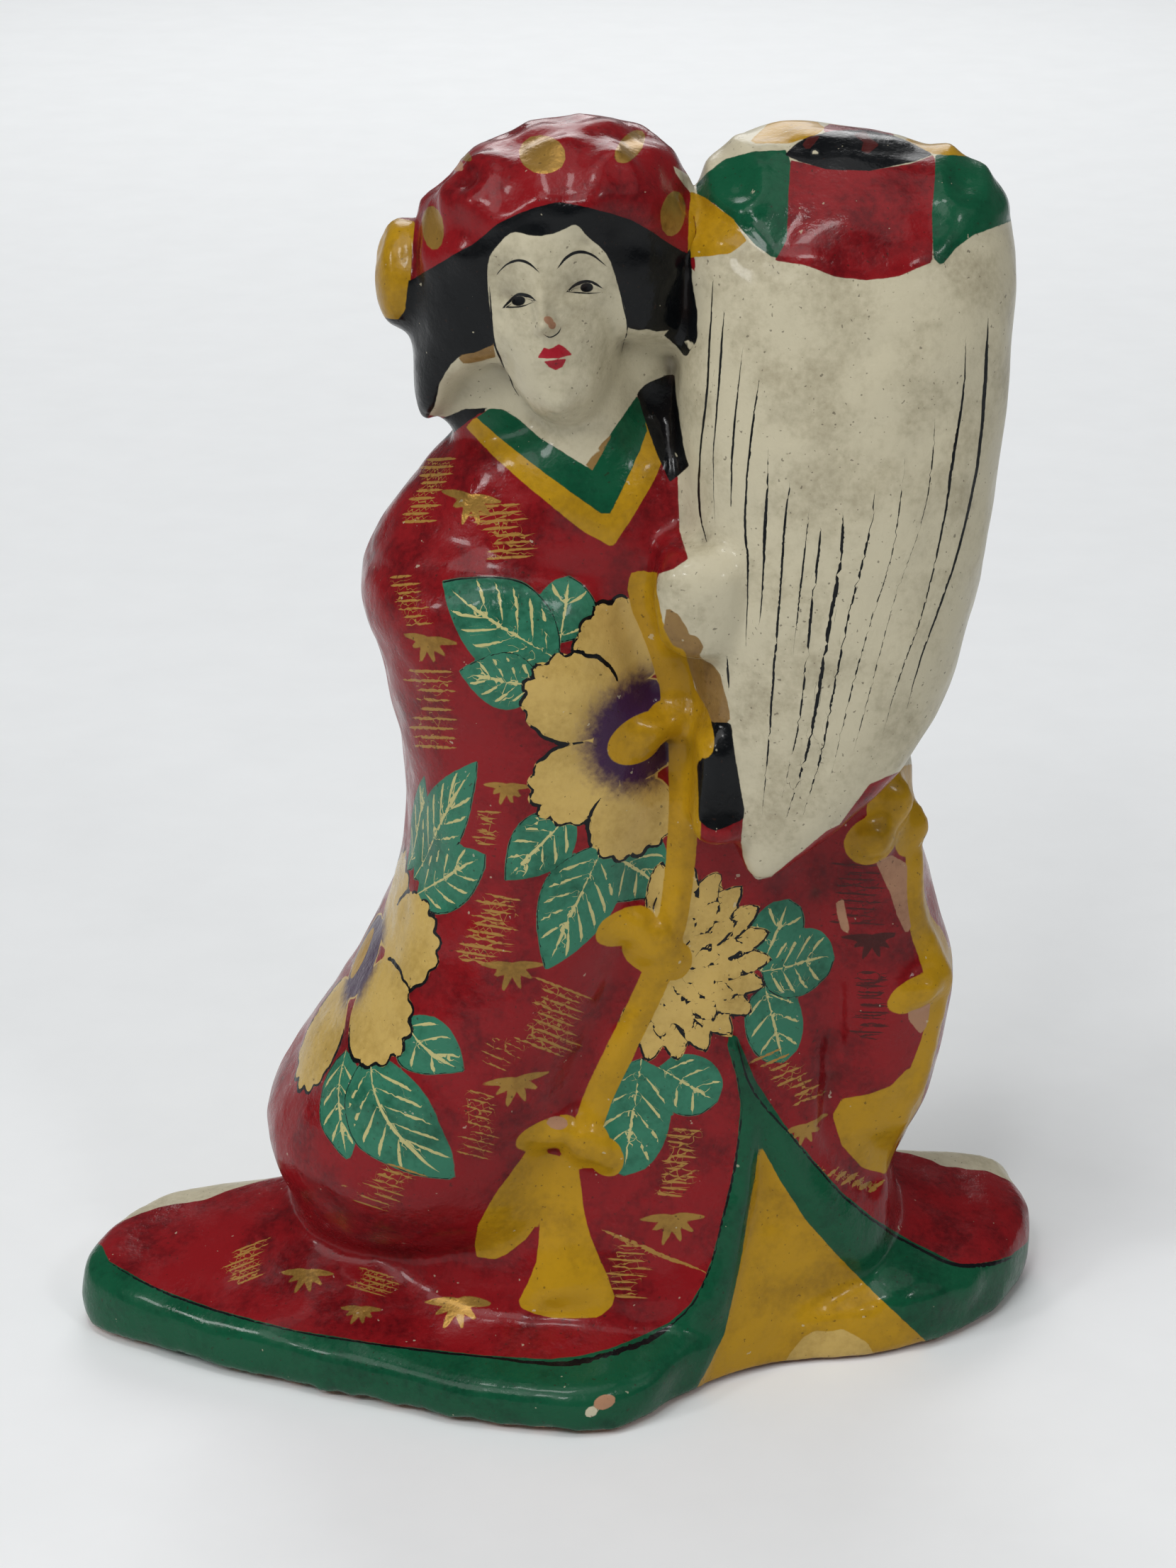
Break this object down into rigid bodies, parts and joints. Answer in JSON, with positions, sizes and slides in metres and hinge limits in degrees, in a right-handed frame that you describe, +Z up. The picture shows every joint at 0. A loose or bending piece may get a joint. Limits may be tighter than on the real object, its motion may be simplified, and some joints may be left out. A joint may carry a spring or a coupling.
{
  "type": "painted clay doll of a standing lady",
  "caption": "Standing painted clay doll in a long trailing robe, holding up a tall white-haired headpiece, cast in one with its wide flat base.",
  "frame": {"origin": "centre of the bounding box at the flat underside of the hem", "axes": "+Z up to the crown of the headdress, +X towards the raised headpiece, +Y from the painted front to the plain back"},
  "size_m": [0.2374, 0.1022, 0.3004],
  "materials": {
    "clay_doll": "painted clay under a glossy lacquer"
  },
  "bodies": {
    "root": {"clay_doll": "clay_doll"}
  },
  "joints": []
}
